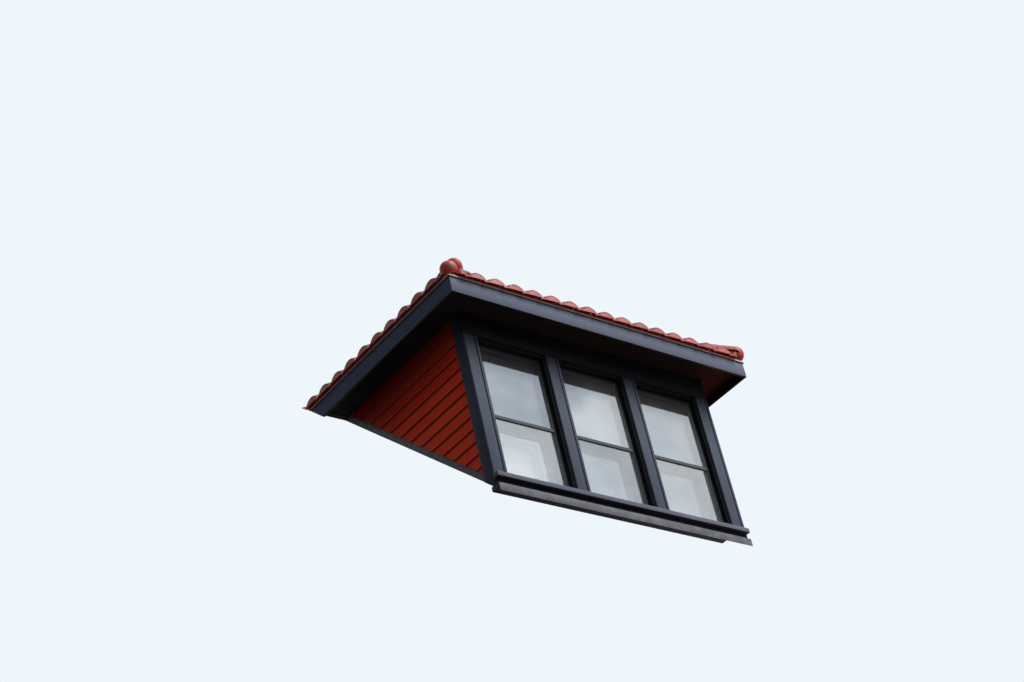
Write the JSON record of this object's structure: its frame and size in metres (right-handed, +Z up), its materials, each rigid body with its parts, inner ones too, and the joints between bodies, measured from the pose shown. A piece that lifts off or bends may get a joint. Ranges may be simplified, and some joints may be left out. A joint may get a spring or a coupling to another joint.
{
  "type": "dormer window",
  "caption": "Hipped dormer with double-hung windows behind storm windows, clapboard cheeks and deep tiled eaves, made to stand on a steep roof.",
  "frame": {"origin": "on the sloping foot of the front wall, at the middle of the face of its boards, in the plane of the roof below", "axes": "+X along the front wall, +Y back into the roof, +Z up"},
  "size_m": [3.6136, 3.4592, 3.1515],
  "materials": {
    "bare_wood": "sawn, unpainted",
    "charcoal_paint": "satin paint on wood",
    "slate_paint": "satin paint on wood",
    "sand_paint": "satin paint on wood",
    "vermilion_paint": "weathered paint on wood",
    "plaster": "painted lining on timber framing",
    "lead": "dull sheet",
    "terracotta": "fired clay",
    "glass": "clear"
  },
  "bodies": {
    "root": {"front_sole": "bare_wood", "left_sole": "bare_wood", "right_sole": "bare_wood", "valley_boards": "bare_wood", "apron_board": "charcoal_paint", "left_cheek_wall": "plaster", "right_cheek_wall": "plaster", "left_corner_post": "plaster", "right_corner_post": "plaster", "left_mullion": "plaster", "right_mullion": "plaster", "head_beam": "plaster", "frieze_board": "charcoal_paint", "face_boards": "slate_paint", "corner_boards": "charcoal_paint", "window_sill": "charcoal_paint", "left_window_frame": "charcoal_paint", "middle_window_frame": "charcoal_paint", "right_window_frame": "charcoal_paint", "storm_frames": "slate_paint", "left_upper_sash": "charcoal_paint", "middle_upper_sash": "charcoal_paint", "right_upper_sash": "charcoal_paint", "left_lower_sash": "charcoal_paint", "middle_lower_sash": "charcoal_paint", "right_lower_sash": "charcoal_paint", "storm_panes": "glass", "sash_panes": "glass", "left_cladding": "vermilion_paint", "right_cladding": "vermilion_paint", "side_flashings": "lead", "apron_flashing": "lead", "front_fascia": "slate_paint", "left_fascia": "slate_paint", "right_fascia": "slate_paint", "eave_strips": "sand_paint", "soffit_boards": "charcoal_paint", "ceiling": "plaster", "rafters": "bare_wood", "roof_boards": "bare_wood", "front_tiles": "terracotta", "left_tiles": "terracotta", "right_tiles": "terracotta", "hip_caps": "terracotta", "hip_ends": "terracotta", "ridge_caps": "terracotta"}
  },
  "joints": []
}
